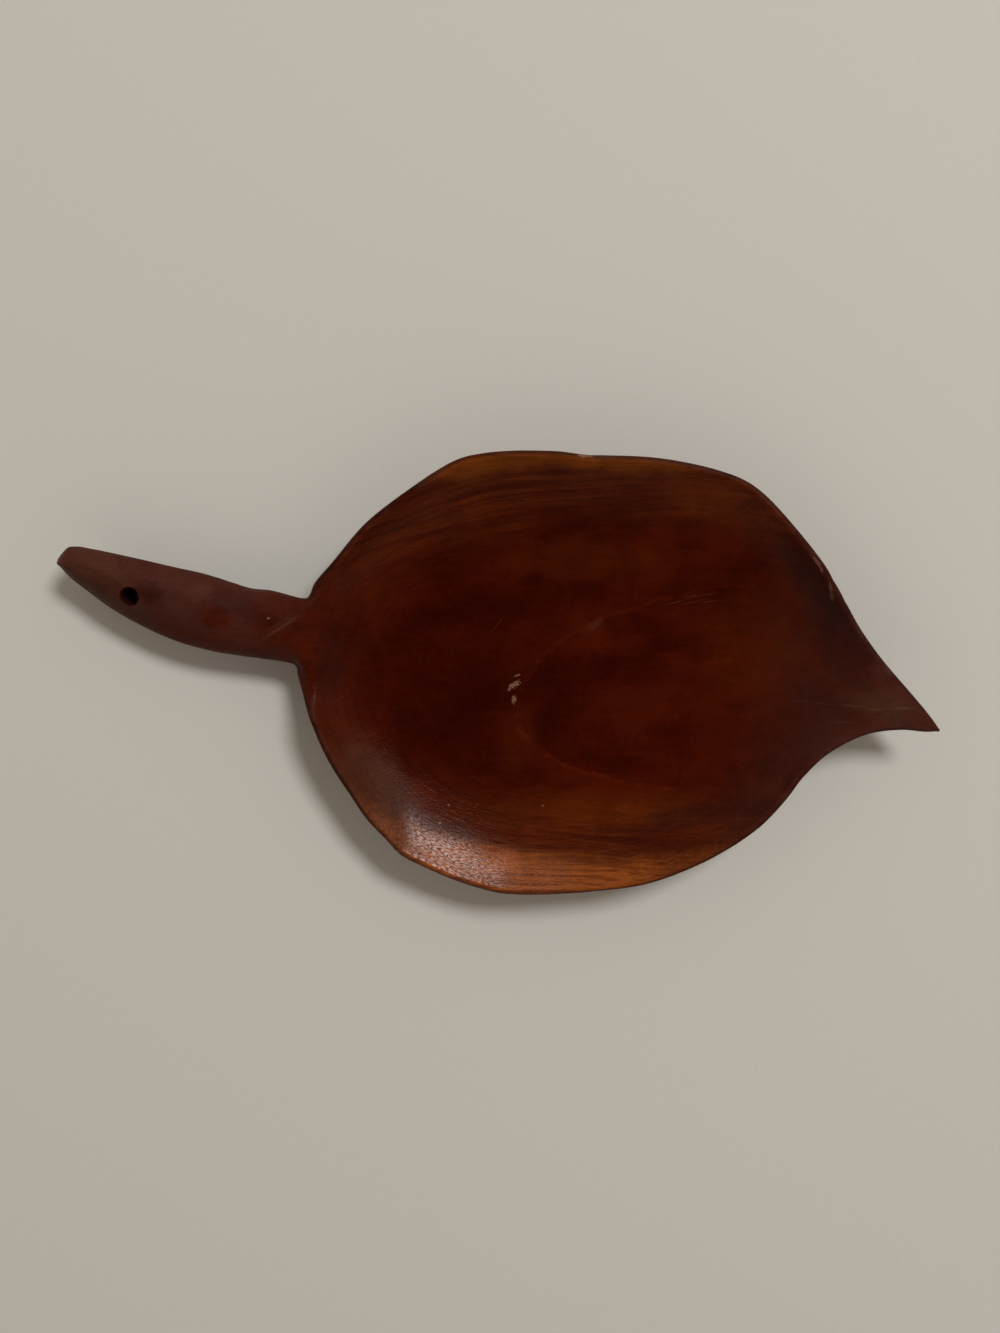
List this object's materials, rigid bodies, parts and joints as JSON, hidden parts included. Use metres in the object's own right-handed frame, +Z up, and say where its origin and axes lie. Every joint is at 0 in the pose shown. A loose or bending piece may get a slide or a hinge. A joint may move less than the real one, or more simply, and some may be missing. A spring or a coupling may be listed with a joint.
{
  "type": "wooden serving tray",
  "caption": "Leaf-shaped shallow serving dish carved from one board, with a drawn-out tip, a stem-like handle, a flat foot and a hanging hole.",
  "frame": {"origin": "centre of the planed foot, on the surface that the tray rests on", "axes": "+X from the handle to the tip, +Y towards the edge with the lesser reach, +Z up out of the dish"},
  "size_m": [0.412, 0.2115, 0.028],
  "materials": {
    "oiled_hardwood": "worn satin oil finish on dark red-brown hardwood, with a paler sapwood streak along one rim"
  },
  "bodies": {
    "root": {"carved_tray": "oiled_hardwood"}
  },
  "joints": []
}
